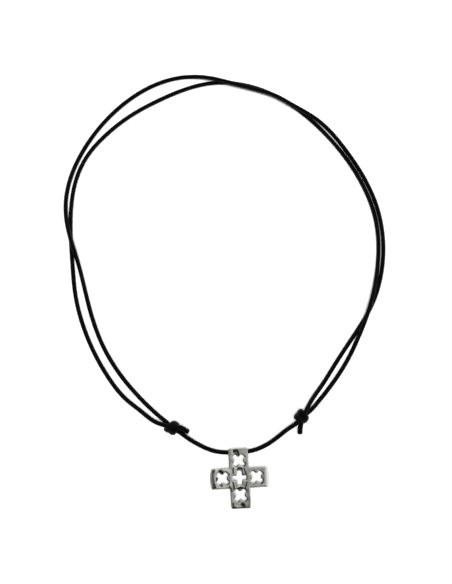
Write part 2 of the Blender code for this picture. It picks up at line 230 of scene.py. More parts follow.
@dataclass(frozen=True)
class CastSilver(Finish):
    """Cast silver, hand polished on its front and dull where the polish doesn't reach, with dark reflections
    painted into its colour.
    """

    name: str = "polished_cast_silver"
    bright: Colour = (0.90, 0.90, 0.84, 1.0)
    dull: Colour = (0.33, 0.33, 0.305, 1.0)
    # The dark colour that is painted in for dark reflections
    shade_and_wall_dark_colour: Colour = (0.038, 0.038, 0.034, 1.0)
    grazing: Colour = (0.35, 0.35, 0.33, 1.0)
    polish: float = 0.12
    satin: float = 0.34
    patch_scale: float = 420.0
    fine_scale: float = 2600.0
    stroke_scale: Point = (6200.0, 620.0, 2000.0)
    crossing_scale: Point = (700.0, 5200.0, 2000.0)
    patch_stops: Pair = (0.35, 0.6)
    stroke_stops: Pair = (0.58, 0.72)
    crossing_stops: Pair = (0.6, 0.74)
    # Where the share of painted dark reflections and darkened walls starts and is full in dulling the
    # colour, then in darkening it
    shade_and_wall_dull_stops: Pair = (0.05, 0.6)
    shade_and_wall_dark_stops: Pair = (0.4, 0.9)
    bump_depth: float = 4e-6

    def looks(self, nodes: Nodes) -> dict[str, Any]:
        """Uses the recess share, the share of painted dark reflections and darkened outer walls, and the
        satin share that the mesh carries.

        Args:
            nodes: the material's nodes.

        Returns:
            The shader's values and links, by socket.
        """
        place = nodes.add("ShaderNodeTexCoord").outputs["Object"]
        shares = ("recess", "painted_shade_and_wall_dark", "satin")
        recess, painted_shade_and_wall_dark, satin = [nodes.signal(nodes.attribute(share), "Fac") for share in shares]
        patches = nodes.clouds(place, self.patch_scale, detail=4.0)
        fine = nodes.clouds(place, self.fine_scale, detail=2.0)
        strokes = nodes.clouds(nodes.stretched(place, self.stroke_scale), 1.0, detail=2.0)
        crossing = nodes.clouds(nodes.stretched(place, self.crossing_scale), 1.0, detail=2.0)
        # Painted dark reflections and the outer walls' darkening, with ragged edges; they dull the colour,
        # then paint it dark
        ragged_shade_and_wall_dark = painted_shade_and_wall_dark + painted_shade_and_wall_dark.smooth_step(0.0, 0.25) * ((patches - 0.5) * 0.6 + (fine - 0.5) * 0.4)
        dullness = recess * (patches.smooth_step(*self.patch_stops) * 0.3 + 0.7)
        colour = nodes.mixed_colour(dullness, self.bright, self.dull)
        colour = nodes.mixed_colour(ragged_shade_and_wall_dark.smooth_step(*self.shade_and_wall_dull_stops), colour, self.dull)
        dark = ragged_shade_and_wall_dark.smooth_step(*self.shade_and_wall_dark_stops)
        scratches = strokes.smooth_step(*self.stroke_stops) + crossing.smooth_step(*self.crossing_stops)
        wear = (patches - 0.5) * 0.10 + scratches * 0.025
        roughness = wear + recess * 0.14 + dark * 0.16 + satin * (self.satin - self.polish)
        height = fine * (satin * 0.9 + 0.25) + strokes * 0.4 + crossing * 0.3 - ragged_shade_and_wall_dark * 0.6
        return {
            "Base Color": nodes.mixed_colour(dark, colour, self.shade_and_wall_dark_colour),
            "Metallic": 1.0,
            "Specular Tint": self.grazing,
            "Roughness": roughness + self.polish,
            "Normal": nodes.bumped(height, self.bump_depth),
        }


@dataclass(frozen=True)
class WaxedLeather(Finish):
    """Round leather lacing, dyed black and lightly waxed, with its grain along the cord."""

    name: str = "waxed_black_leather"
    deep: Colour = (0.0008, 0.0008, 0.0009, 1.0)
    worn: Colour = (0.0026, 0.0025, 0.0024, 1.0)
    roughness: float = 0.50
    shine: float = 0.07
    fibre_scale: Point = (3.4, 3.4, 0.42)
    wear_scale: Point = (0.6, 0.6, 0.11)
    crease_scale: Point = (4.6, 4.6, 2.3)
    crease_width: float = 0.16
    bump_depth: float = 5e-5

    def looks(self, nodes: Nodes) -> dict[str, Any]:
        """Uses the grain's place that the mesh carries, in millimetres.

        Args:
            nodes: the material's nodes.

        Returns:
            The shader's values and links, by socket.
        """
        place = nodes.attribute("grain_place").outputs["Vector"]
        fibres = nodes.clouds(nodes.stretched(place, self.fibre_scale), 1.0, detail=4.0)
        wear = nodes.clouds(nodes.stretched(place, self.wear_scale), 1.0)
        sockets = {"Vector": nodes.stretched(place, self.crease_scale), "Scale": 1.0}
        cells = nodes.add("ShaderNodeTexVoronoi", {"feature": "DISTANCE_TO_EDGE"}, sockets)
        creases = 1 - nodes.signal(cells, "Distance").smooth_step(0.0, self.crease_width)
        colour = nodes.mixed_colour(wear.smooth_step(0.42, 0.72) * 0.8 + fibres * 0.2, self.deep, self.worn)
        roughness = (fibres - 0.5) * 0.22 - wear.smooth_step(0.45, 0.7) * 0.07 + creases * 0.10
        return {
            "Base Color": colour,
            "Roughness": roughness + self.roughness,
            "Specular IOR Level": self.shine,
            "Normal": nodes.bumped(fibres * 0.65 - creases * 0.3, self.bump_depth, strength=0.8),
        }


@dataclass(frozen=True)
class CutLeather(Finish):
    """The raw cut end of the lacing, where the dye hasn't reached the middle."""

    name: str = "cut_leather_end"
    edge: Colour = (0.008, 0.007, 0.007, 1.0)
    middle: Colour = (0.060, 0.050, 0.044, 1.0)
    roughness: float = 0.86
    shine: float = 0.2
    fibre_scale: Point = (7.0, 7.0, 3.0)
    dye_stops: Pair = (0.9, 0.45)
    bump_depth: float = 6e-5

    def looks(self, nodes: Nodes) -> dict[str, Any]:
        """Uses the grain's place that the mesh carries, in millimetres.

        Args:
            nodes: the material's nodes.

        Returns:
            The shader's values and links, by socket.
        """
        place = nodes.attribute("grain_place").outputs["Vector"]
        fibres = nodes.clouds(nodes.stretched(place, self.fibre_scale), 1.0, detail=5.0, roughness=0.7)
        across = {0: nodes.stretched(place, (1.0, 1.0, 0.0))}
        radius = nodes.signal(nodes.add("ShaderNodeVectorMath", {"operation": "LENGTH"}, across), "Value")
        undyed = radius.smooth_step(*self.dye_stops) * (fibres * 0.8 + 0.3)
        return {
            "Base Color": nodes.mixed_colour(undyed, self.edge, self.middle),
            "Roughness": self.roughness,
            "Specular IOR Level": self.shine,
            "Normal": nodes.bumped(fibres, self.bump_depth),
        }


@dataclass(frozen=True)
class PaleTable(Finish):
    """The plain pale surface that the necklace lies on."""

    name: str = "pale_table"
    colour: Colour = (0.90, 0.90, 0.90, 1.0)
    roughness: float = 0.9
    shine: float = 0.1

    def looks(self, nodes: Nodes) -> dict[str, Any]:
        """The shader's values, with nothing that varies."""
        return {"Base Color": self.colour, "Roughness": self.roughness, "Specular IOR Level": self.shine}


# Shapes


def shown(name: str, data: bpy.types.ID) -> bpy.types.Object:
    """Puts data into the scene as an object.

    Args:
        name: the object's name.
        data: its mesh, light or camera.

    Returns:
        The object.
    """
    made = bpy.data.objects.new(name, data)
    bpy.context.scene.collection.objects.link(made)
    return made


def carry(mesh: bpy.types.Mesh, name: str, values: np.ndarray) -> None:
    """Stores a value or a vector at each point of a mesh.

    Args:
        mesh: the mesh.
        name: the name that a material reads.
        values: one row for each vertex.
    """
    vector = values.ndim == 2
    attribute = mesh.attributes.new(name, "FLOAT_VECTOR" if vector else "FLOAT", "POINT")
    attribute.data.foreach_set("vector" if vector else "value", values.astype(np.float32).ravel())


def at_points(mesh: bpy.types.Mesh, what: str) -> np.ndarray:
    """What Blender keeps for each point of a mesh.

    Args:
        mesh: the mesh.
        what: co for their places in metres, or normal.

    Returns:
        One row for each vertex.
    """
    values = np.zeros(len(mesh.vertices) * 3, np.float32)
    mesh.vertices.foreach_get(what, values)
    return values.reshape(-1, 3)


def ramp(values: np.ndarray, low: float, high: float) -> np.ndarray:
    """Shares from 0 where a value is low to 1 where it is high, which may be below low."""
    return np.clip((values - low) / (high - low), 0.0, 1.0)


def distance_along(places: np.ndarray) -> np.ndarray:
    """The distance of each place from the first one, along the line through them."""
    steps = np.linalg.norm(np.diff(places, axis=0), axis=1)
    return np.concatenate([[0.0], np.cumsum(steps)])


def wander(places: np.ndarray, scale: float, seed: float) -> np.ndarray:
    """Smooth random shifts along X and Y, with scale waves to a millimetre, between -1 and 1."""
    shifts = [noise.noise_vector(Vector((x * scale, y * scale, seed))).xy for x, y in places[:, :2]]
    return np.array(shifts)


def bands(rings: Sequence[Sequence[Any]]) -> list[list[Any]]:
    """The faces between closed rings that have the same number of points.

    Args:
        rings: the points of each ring, or their numbers.

    Returns:
        The four corners of each face.
    """
    faces = []
    for low, high in zip(rings, rings[1:]):
        for i in range(len(low)):
            j = (i + 1) % len(low)
            faces.append([low[i], low[j], high[j], high[i]])
    return faces


def tube(name: str, rings: np.ndarray) -> bpy.types.Mesh:
    """A closed tube.

    Args:
        name: the mesh's name.
        rings: the points of each ring, which turn clockwise as seen by one who looks along the tube.

    Returns:
        The mesh. Its last two faces are its ends.
    """
    numbers = np.arange(rings.shape[0] * rings.shape[1]).reshape(rings.shape[:2]).tolist()
    faces = bands(numbers) + [numbers[0][::-1], numbers[-1]]
    data = bpy.data.meshes.new(name)
    data.from_pydata((rings.reshape(-1, 3) * MM).tolist(), [], faces)
    return data


class SmoothCurve:
    """The smooth curve through a list of points."""

    def __init__(self, points: Sequence[Point]) -> None:
        """Fits a natural cubic spline.

        Args:
            points: the points, in millimetres.
        """
        self.places = np.array(points, float)
        self.marks = distance_along(self.places)
        steps = np.diff(self.marks)
        count = len(self.places)
        matrix = np.eye(count)
        right = np.zeros_like(self.places)
        for i in range(1, count - 1):
            matrix[i, i - 1 : i + 2] = steps[i - 1], 2 * (steps[i - 1] + steps[i]), steps[i]
            ahead = (self.places[i + 1] - self.places[i]) / steps[i]
            behind = (self.places[i] - self.places[i - 1]) / steps[i - 1]
            right[i] = 6 * (ahead - behind)
        self.bends = np.linalg.solve(matrix, right)

    def at(self, marks: np.ndarray) -> np.ndarray:
        """Places on the curve.

        Args:
            marks: distances along the straight lines between the points.

        Returns:
            One row for each distance.
        """
        i = np.clip(np.searchsorted(self.marks, marks) - 1, 0, len(self.places) - 2)
        gap = (self.marks[i + 1] - self.marks[i])[:, None]
        after = (marks - self.marks[i])[:, None]
        before = gap - after
        curve = (self.bends[i] * before**3 + self.bends[i + 1] * after**3) / (6 * gap)
        start = (self.places[i] / gap - self.bends[i] * gap / 6) * before
        return curve + start + (self.places[i + 1] / gap - self.bends[i + 1] * gap / 6) * after


# The cross


@dataclass
class Corner:
    """One corner of an outline: its place, and whether it is an end of a stroke or a notch between two."""

    x: float
    y: float
    is_end: bool


def cross_corners(reach_across: float, reach_up: float, width: float, bow: float = 0.0) -> list[Corner]:
    """Corners of an upright cross, anticlockwise from the right arm's lower end.

    Args:
        reach_across: centre to the end of a side arm.
        reach_up: centre to the top or the bottom end.
        width: width of an arm.
        bow: how far the middle of a side arm's end stands out past its corners.

    Returns:
        The corners.
    """
    half = width / 2
    side = [(reach_across - bow, -half, True), (reach_across, 0.0, True), (reach_across - bow, half, True)]
    if not bow:
        side.pop(1)
    top = [(half, half, False), (half, reach_up, True), (-half, reach_up, True), (-half, half, False)]
    return [Corner(sign * x, sign * y, is_end) for sign in (1, -1) for x, y, is_end in side + top]


def saltire_corners(reach: float, width: float, end_round: float) -> list[Corner]:
    """Corners of a diagonal cross.

    Args:
        reach: how far its rounded ends reach along X and along Y.
        width: width of a stroke.
        end_round: radius of the ends' corners.

    Returns:
        The corners, anticlockwise.
    """
    arm = (reach + end_round * (math.sqrt(2) - 1)) * math.sqrt(2) - width / 2
    turn = math.sqrt(0.5)
    return [Corner((c.x - c.y) * turn, (c.x + c.y) * turn, c.is_end) for c in cross_corners(arm, arm, width)]


@dataclass
class RoundedOutline:
    """An outline with every corner rounded, from which rings at any distance are drawn."""

    corners: list[Corner]
    end_round: float
    notch_round: float
    centre: Pair = (0.0, 0.0)
    steps: int = 8
    smallest_round: float = 0.04

    def ring(self, grow: float) -> list[Vector]:
        """Draws the outline moved outwards.

        Args:
            grow: how far it is moved, or inwards if negative.

        Returns:
            Its points, anticlockwise. Every ring of one outline has the same number.
        """
        points = []
        count = len(self.corners)
        for i, corner in enumerate(self.corners):
            here = Vector((corner.x, corner.y))
            before, after = self.corners[i - 1], self.corners[(i + 1) % count]
            into = (here - Vector((before.x, before.y))).normalized()
            out = (Vector((after.x, after.y)) - here).normalized()
            normal_in, normal_out = Vector((into.y, -into.x)), Vector((out.y, -out.x))
            slant = (normal_in + normal_out) / (1 + normal_in.dot(normal_out))
            radius = self.end_round + grow if corner.is_end else self.notch_round - grow
            radius = max(radius, self.smallest_round)
            side = 1 if corner.is_end else -1
            pivot = here + slant * grow - side * slant * radius
            turn = normal_in.angle(normal_out)
            for step in range(self.steps + 1):
                spoke = self._between(normal_in, normal_out, turn, step / self.steps)
                points.append(Vector(self.centre) + pivot + side * spoke * radius)
        return points

    @staticmethod
    def _between(first: Vector, second: Vector, turn: float, share: float) -> Vector:
        """The direction at a share of the turn from one direction to another."""
        return (first * math.sin(turn * (1 - share)) + second * math.sin(turn * share)) / math.sin(turn)


def with_edge_points(rings: list[list[Vector]], longest: float) -> list[np.ndarray]:
    """Divides the long straights of one outline's rings, all at the same places.

    Args:
        rings: the rings of one outline.
        longest: the longest straight that stays whole in the first ring.

    Returns:
        The rings with the points that were added.
    """
    first = rings[0]
    count = len(first)
    pieces = [max(1, math.ceil((first[(i + 1) % count] - first[i]).length / longest)) for i in range(count)]
    filled = []
    for ring in rings:
        points = []
        for i, split in enumerate(pieces):
            points += [ring[i].lerp(ring[(i + 1) % count], step / split) for step in range(split)]
        filled.append(np.array(points))
    return filled


def is_inside(points: np.ndarray, ring: np.ndarray) -> np.ndarray:
    """Which points are inside a closed ring.

    Args:
        points: places, one row each.
        ring: the ring's points.

    Returns:
        True or False for each point.
    """
    a, b = ring, np.roll(ring, -1, axis=0)
    x, y = points[:, :1], points[:, 1:2]
    crosses = (a[:, 1] > y) != (b[:, 1] > y)
    rise = np.where(b[:, 1] == a[:, 1], 1.0, b[:, 1] - a[:, 1])
    meets = a[:, 0] + (b[:, 0] - a[:, 0]) * (y - a[:, 1]) / rise
    return (crosses & (x < meets)).sum(axis=1) % 2 == 1


def distance_to(points: np.ndarray, ring: np.ndarray) -> np.ndarray:
    """The distance of each point to the nearest edge of a ring.

    Args:
        points: places, one row each.
        ring: the ring's points.

    Returns:
        The distances.
    """
    a = ring[None]
    along = np.roll(ring, -1, axis=0)[None] - a
    lengths = np.maximum((along**2).sum(axis=2), SMALLEST_SQUARE)
    share = np.clip(((points[:, None] - a) * along).sum(axis=2) / lengths, 0.0, 1.0)
    return np.linalg.norm(points[:, None] - a - along * share[..., None], axis=2).min(axis=1)


@dataclass(frozen=True)
class PaintedReflectionStroke:
    """A soft-edged stroke on the front along which a dark reflection is painted into the silver's colour."""

    width: float
    strength: float
    points: tuple[Pair, ...]
    fade: Pair = (1.7, 0.4)

    def share(self, places: np.ndarray) -> np.ndarray:
        """How dark the silver is painted.

        Args:
            places: X and Y, one row each.

        Returns:
            A share from 0 to the stroke's strength for each place.
        """
        there_and_back = np.array(self.points + self.points[-2:0:-1])
        far = distance_to(places, there_and_back) / self.width
        return self.strength * ramp(far, *self.fade)


# Painted dark reflections, in the tight spots between the pierced shapes and near the ends. The columns
# are the width of a stroke, its strength, and the X and Y of its points
PAINTED_DARK_REFLECTIONS = tuple(
    PaintedReflectionStroke(width, strength, tuple(points))
    for width, strength, *points in (
        # Top arm
        (0.4, 1.0, (-1.8, 11.5), (-1.9, 12.2), (-0.4, 12.2), (-0.05, 11.2), (0.2, 10.2)),
        (0.6, 0.8, (-1.2, 11.6), (-0.5, 11.3)),
        (0.3, 0.8, (-1.3, 10.5), (-0.4, 10.0)),
        (0.26, 0.8, (3.25, 6.2), (3.0, 5.6), (2.3, 4.9)),
        # Middle
        (0.42, 1.0, (-0.3, 4.0), (0.3, 4.15), (1.1, 3.9)),
        (0.36, 0.8, (-2.6, 4.1), (-2.7, 2.0)),
        (0.34, 0.9, (-2.85, -2.0), (-2.7, -3.5), (-2.6, -4.9)),
        (0.27, 0.85, (2.2, 4.0), (2.5, 3.2), (2.95, 1.7), (3.3, 0.4), (3.35, -0.6)),
        (0.3, 0.85, (3.1, -2.1), (2.75, -3.4), (2.35, -4.6)),
        (0.42, 1.0, (-1.2, -4.75), (0.0, -4.45), (1.4, -4.8), (2.4, -5.4), (2.85, -6.2)),
        (0.4, 0.85, (1.75, 1.4)),
        (0.5, 0.35, (-1.7, -2.6), (-1.5, -3.6)),
        # Left arm
        (0.75, 1.0, (-8.5, 3.3), (-7.7, 2.8)),
        (0.5, 0.7, (-8.6, -2.8), (-7.9, -3.3)),
        (0.45, 0.45, (-4.6, 1.8), (-4.55, -0.6), (-4.65, -3.4)),
        (0.5, 0.62, (-4.75, -3.4), (-4.2, -4.6), (-3.7, -5.6)),
        (0.3, 1.0, (-10.0, 0.4), (-10.1, -0.4)),
        (0.36, 0.75, (-10.9, 3.8), (-11.2, 3.0)),
        (0.36, 0.85, (-11.2, -2.4), (-10.7, -3.8), (-12.0, -4.0)),
        (0.5, 0.6, (-12.8, 2.5), (-12.9, -3.4)),
        (1.0, 0.3, (-8.4, 4.3), (-6.6, 4.3)),
        # Right arm
        (0.32, 0.85, (6.2, 2.9), (7.1, 2.1)),
        (0.3, 0.5, (5.9, -3.3), (7.0, -2.5)),
        (0.26, 0.8, (10.6, -1.6), (10.2, -2.5), (9.6, -3.1)),
        (0.4, 0.35, (10.5, 3.4), (10.6, -1.4)),
        (0.4, 0.32, (12.95, 3.9), (12.95, -3.9)),
        # Bottom arm
        (0.36, 0.75, (-3.45, -11.0), (-3.4, -12.2)),
        (0.42, 1.0, (-3.35, -12.5), (-2.7, -12.8)),
        (0.76, 1.0, (0.8, -11.6), (1.25, -12.1)),
        (0.8, 0.4, (-1.4, -11.4), (-0.4, -11.9)),
        (0.3, 0.75, (-1.3, -10.3), (-0.5, -9.65)),
        (0.24, 0.7, (3.2, -9.3), (2.6, -10.0), (1.8, -10.7)),
        (0.8, 0.4, (3.5, -5.6), (3.7, -9.2), (3.5, -12.6)),
        (0.4, 0.65, (-3.6, -13.0), (4.0, -13.0)),
    )
)


@dataclass
class Channel:
    """The drilled way of the cord through the top arm, from one side to the other."""

    radius: float = 1.1
    roof: float = 0.45
    height: float = 1.45
    mouth: float = 4.4
    mouth_round: float = 0.28
    flare_turn: int = 75
    flare_step: int = 15
    beyond: float = 1.2
    sides: int = 64

    def __post_init__(self) -> None:
        """Places it along the upright, with a thin wall of metal beyond it."""
        self.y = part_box("cross_pendant")[1].y / MM - self.roof - self.radius

    def way_out(self, side: Side) -> list[Point]:
        """The cord's first two points, in the middle of the cross and in the mouth on one side."""
        return [(0.0, self.y, self.height), (side.value * self.mouth, self.y, self.height)]

    def drill(self) -> bpy.types.Object:
        """Turns the tool that cuts the way, with both mouths flared so that they don't chafe the cord.

        Returns:
            The tool.
        """
        turns = [math.radians(angle) for angle in range(0, self.flare_turn + 1, self.flare_step)]
        size = self.mouth_round
        flare = [(self.mouth - size * (1 - math.sin(t)), size * (1 - math.cos(t))) for t in turns]
        flare.append((self.mouth + self.beyond, flare[-1][1] + self.beyond))
        profile = [(-x, grow) for x, grow in flare[::-1]] + flare
        angles = 2 * math.pi * np.arange(self.sides) / self.sides
        rings = np.zeros((len(profile), self.sides, 3))
        for ring, (x, grow) in zip(rings, profile):
            radius = self.radius + grow
            ring[:, 0] = x
            ring[:, 1] = self.y + radius * np.cos(angles)
            ring[:, 2] = self.height + radius * np.sin(angles)
        return shown("channel_drill", tube("channel_drill", rings))


@dataclass
class Pendant:
    """The pierced cast cross, with the drilled way of the cord through its top arm."""

    # The direction in which a pierced shape's rim faces where a dark reflection is painted onto it
    PAINTED_SHADE_FACING = np.array([-1.0, -0.06, 0.0])
    # The unevenness of the front: waves to a millimetre, their share, and where in the noise they are read
    WAVES = ((0.34, 1.0, (7.3, -2.1, 0.4)), (0.95, 0.3, (-3.3, 5.2, 1.9)))
    HAND_SEED, STRAY_SEED = 4.7, 8.1
    INSIDE_ONLY = 1

    arm_width: float = 8.8
    thickness: float = 3.8
    end_bow: float = 0.2
    side_dome_radius: float = 28.0
    long_dome_radius: float = 200.0
    dome_blend: float = 0.12
    end_roll_radius: float = 2.75
    end_slope: float = 53.0
    corner_round: float = 0.9
    inner_corner_round: float = 0.35
    back_bevel: float = 0.25
    pierce_pitch: float = 7.6
    saltire_reach: float = 2.85
    saltire_width: float = 2.2
    saltire_notch_round: float = 0.75
    plus_reach: Pair = (3.12, 3.35)
    plus_width: float = 2.25
    plus_notch_round: float = 0.3
    stroke_end_round: float = 0.4
    rim_width: float = 0.5
    rim_depth: float = 0.4
    pierced_rim_width: float = 0.64
    pierced_rim_depth: float = 0.48
    bevel_steps: int = 3
    wall_steps: int = 4
    rim_steps: int = 9
    edge_piece: float = 0.35
    grid: float = 0.24
    grid_clearance: float = 0.55
    merge_distance: float = 1e-5
    hand_wave: float = 0.05
    hand_wander: float = 0.05
    hand_scale: float = 0.6
    # Painted dark reflection on the pierced shapes' rims that face left: its strength, and how far a rim
    # must face left for it to start and to be full
    painted_rim_shade: float = 0.66
    painted_rim_shade_facing: Pair = (0.1, 0.35)
    # How much the outer walls are darkened
    side_wall_darkening: float = 0.12
    stroke_stray: float = 0.22
    stray_scale: float = 1.5
    mark_depth: float = 0.6
    recess_depths: Pair = (0.3, 1.0)
    side_depths: Pair = (0.04, 0.18)
    # How much less the outer walls that face up the cross are dulled and darkened
    top_side_sparing: float = 0.7
    satin_heights: Pair = (0.35, 0.05)
    bore_margin: float = 0.03
    sharp_angle: float = 42.0
    channel: Channel = field(default_factory=Channel)
    strokes: tuple[PaintedReflectionStroke, ...] = PAINTED_DARK_REFLECTIONS
    name: str = "cross_pendant_silver"
    finish: CastSilver = field(default_factory=CastSilver)

    def __post_init__(self) -> None:
        """Takes the cross's own reach from the solid that it stands for."""
        low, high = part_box("cross_pendant")
        self.side_reach = (high.x - low.x) / 2 / MM
        self.upright_reach = (high.y - low.y) / 2 / MM

    def front(self, x: np.ndarray, y: np.ndarray) -> np.ndarray:
        """Height of the domed front, before its edges are rounded.

        Args:
            x: across the cross.
            y: along its upright.

        Returns:
            The heights above the table.
        """
        upright = -(x**2) / self.side_dome_radius / 2 - y**2 / self.long_dome_radius / 2
        side = -(y**2) / self.side_dome_radius / 2 - x**2 / self.long_dome_radius / 2
        dome = (upright + side + np.sqrt((upright - side) ** 2 + self.dome_blend**2) - self.dome_blend) / 2
        roll = self.end_roll_radius * math.sin(math.radians(self.end_slope))
        past = np.clip(np.abs(x) - (self.side_reach - roll), 0.0, roll)
        drop = self.end_roll_radius - np.sqrt(self.end_roll_radius**2 - past**2)
        return self.thickness + dome - drop - self.wave(x, y)

    def wave(self, x: np.ndarray, y: np.ndarray) -> np.ndarray:
        """The slight unevenness that hand polishing leaves.

        Args:
            x: across the cross.
            y: along its upright.

        Returns:
            How far the front is below an even one.
        """
        drops = np.ones(len(x))
        for scale, share, (right, up, seed) in self.WAVES:
            spots = zip(x * scale + right, y * scale + up)
            drops += share * np.array([noise.noise(Vector((*spot, seed))) for spot in spots])
        return self.hand_wave * drops

    def made_by_hand(self, row: np.ndarray) -> np.ndarray:
        """Lets the outlines wander a little, as sawing and filing by hand does.

        Args:
            row: X, Y and height of some points.

        Returns:
            The points moved sideways.
        """
        moved = row.copy()
        moved[:, :2] += self.hand_wander * wander(row, self.hand_scale, self.HAND_SEED)
        return moved

    def outlines(self) -> tuple[RoundedOutline, list[RoundedOutline]]:
        """Draws the outlines.

        Returns:
            The outline of the cross and those of its five pierced shapes.
        """
        corners = cross_corners(self.side_reach, self.upright_reach, self.arm_width, self.end_bow)
        outer = RoundedOutline(corners, self.corner_round, self.inner_corner_round)
        plus = cross_corners(*self.plus_reach, self.plus_width)
        saltire = saltire_corners(self.saltire_reach, self.saltire_width, self.stroke_end_round)
        holes = [RoundedOutline(plus, self.stroke_end_round, self.plus_notch_round)]
        for x, y in ((0, 1), (1, 0), (0, -1), (-1, 0)):
            centre = (x * self.pierce_pitch, y * self.pierce_pitch)
            holes.append(RoundedOutline(saltire, self.stroke_end_round, self.saltire_notch_round, centre))
        return outer, holes

    def rows(self, shape: RoundedOutline, into_metal: int) -> list[np.ndarray]:
        """Rows of points up one outline: the back's bevel, the wall and the rounded front rim.

        The pierced shapes have been opened out with a file, so their rims are wider than the cross's own.

        Args:
            shape: the outline.
            into_metal: 1 where the metal is outside the outline, and -1 where it is inside.

        Returns:
            Arrays of X, Y and height, from the back to the front.
        """
        bevel, wall = self.back_bevel, self.wall_steps
        rim_width = self.rim_width if into_metal < 0 else self.pierced_rim_width
        rim_depth = self.rim_depth if into_metal < 0 else self.pierced_rim_depth
        bevels = [math.pi / 2 * step / self.bevel_steps for step in range(self.bevel_steps)]
        angles = [math.pi / 2 * step / self.rim_steps for step in range(self.rim_steps + 1)]
        grows = [bevel * (1 - math.sin(angle)) for angle in bevels] + [0.0] * wall
        grows += [rim_width * (1 - math.cos(angle)) for angle in angles]
        rings = with_edge_points([shape.ring(into_metal * grow) for grow in grows], self.edge_piece)
        tops = [self.front(*ring.T) for ring in rings[len(bevels) + wall :]]
        wall_top = tops[0] - rim_depth
        heights = [np.full(len(rings[0]), bevel * (1 - math.cos(angle))) for angle in bevels]
        heights += [bevel + (wall_top - bevel) * step / wall for step in range(wall)]
        heights += [top - rim_depth * (1 - math.sin(angle)) for angle, top in zip(angles, tops)]
        return [np.column_stack([ring, height]) for ring, height in zip(rings, heights)]

    def grid_points(self, outer: np.ndarray, holes: list[np.ndarray]) -> np.ndarray:
        """Points between the rims at which the front bends.

        Args:
            outer: the innermost ring of the cross's own rim.
            holes: the outermost ring of each pierced shape's rim.

        Returns:
            X, Y and height of each.
        """
        steps = math.ceil(self.upright_reach / self.grid)
        clearance = self.grid * self.grid_clearance
        line = np.arange(-steps, steps + 1) * self.grid
        x, y = np.meshgrid(line, line)
        x = x + np.where(np.arange(len(line)) % 2, self.grid / 2, 0.0)[:, None]
        points = np.column_stack([x.ravel(), y.ravel()])
        points = points[is_inside(points, outer)]
        points = points[distance_to(points, outer) > clearance]
        for hole in holes:
            near = np.linalg.norm(points - hole.mean(axis=0), axis=1) < self.pierce_pitch
            blocked = np.zeros(len(points), bool)
            blocked[near] = is_inside(points[near], hole) | (distance_to(points[near], hole) < clearance)
            points = points[~blocked]
        return np.column_stack([points, self.front(*points.T)])

    def close(self, mesh: bmesh.types.BMesh, rows: list[list], extra: list, upwards: bool) -> None:
        """Fills the back or the front between its outlines.

        Args:
            mesh: the mesh that gets the faces.
            rows: the vertices of each outline.
            extra: further vertices between them.
            upwards: whether the faces look up.
        """
        loops, verts = [], []
        for row in rows:
            loops.append(list(range(len(verts), len(verts) + len(row))))
            verts += row
        verts = verts + extra
        places = [Vector((vert.co.x / MM, vert.co.y / MM)) for vert in verts]
        divided = delaunay_2d_cdt(places, [], loops, self.INSIDE_ONLY, self.merge_distance)
        _, _, faces, source, _, within = divided
        for face, loops_round_it in zip(faces, within):
            if list(loops_round_it) != [0]:
                continue
            corners = [verts[source[i][0]] for i in face]
            following = corners[1:] + corners[:1]
            area = sum(a.co.x * b.co.y - b.co.x * a.co.y for a, b in zip(corners, following))
            mesh.faces.new(corners if (area > 0) == upwards else corners[::-1])

    def body(self) -> bpy.types.Mesh:
        """Makes the cross before it is drilled.

        Returns:
            Its mesh.
        """
        mesh = bmesh.new()
        outer, holes = self.outlines()
        backs, fronts, front_rings = [], [], []
        for shape, into_metal in [(outer, -1)] + [(hole, 1) for hole in holes]:
            rows = self.rows(shape, into_metal)
            verts = [[mesh.verts.new(place * MM) for place in self.made_by_hand(row)] for row in rows]
            for face in bands(verts):
                mesh.faces.new(face if into_metal < 0 else face[::-1])
            backs.append(verts[0])
            fronts.append(verts[-1])
            front_rings.append(rows[-1][:, :2])
        spots = self.made_by_hand(self.grid_points(front_rings[0], front_rings[1:]))
        extra = [mesh.verts.new(place * MM) for place in spots]
        self.close(mesh, fronts, extra, upwards=True)
        self.close(mesh, backs, [], upwards=False)
        data = bpy.data.meshes.new(self.name)
        mesh.to_mesh(data)
        mesh.free()
        return data

    def near_shapes(self, places: np.ndarray) -> np.ndarray:
        """Which points belong to a pierced shape or its rim.

        Args:
            places: X, Y and height of the vertices.

        Returns:
            True or False for each.
        """
        near = np.zeros(len(places), bool)
        for hole in self.outlines()[1]:
            tip = max(max(abs(corner.x), abs(corner.y)) for corner in hole.corners)
            reach = tip + self.pierced_rim_width + self.hand_wander
            near |= np.max(np.abs(places[:, :2] - np.array(hole.centre)), axis=1) < reach
        return near

    def painted_shade_and_wall_dark(
        self, places: np.ndarray, normals: np.ndarray, holes: np.ndarray, sides: np.ndarray
    ) -> np.ndarray:
        """Where the silver is painted dark.

        It is painted dark reflection along the strokes and on the pierced shapes' rims that face left, and a
        little darkening on the outer sides.

        Args:
            places: X, Y and height of the vertices.
            normals: the directions that they face.
            holes: which of them belong to the pierced shapes.
            sides: the share of each that belongs to the outer sides.

        Returns:
            A share for each vertex.
        """
        # Painted dark reflection on the pierced shapes' rims that face left
        rim_shade = self.painted_rim_shade * holes * ramp(normals @ self.PAINTED_SHADE_FACING, *self.painted_rim_shade_facing)
        spots = places[:, :2] + self.stroke_stray * wander(places, self.stray_scale, self.STRAY_SEED)
        strokes = [stroke.share(spots) for stroke in self.strokes]
        return np.max([rim_shade, sides * self.side_wall_darkening, *strokes], axis=0)

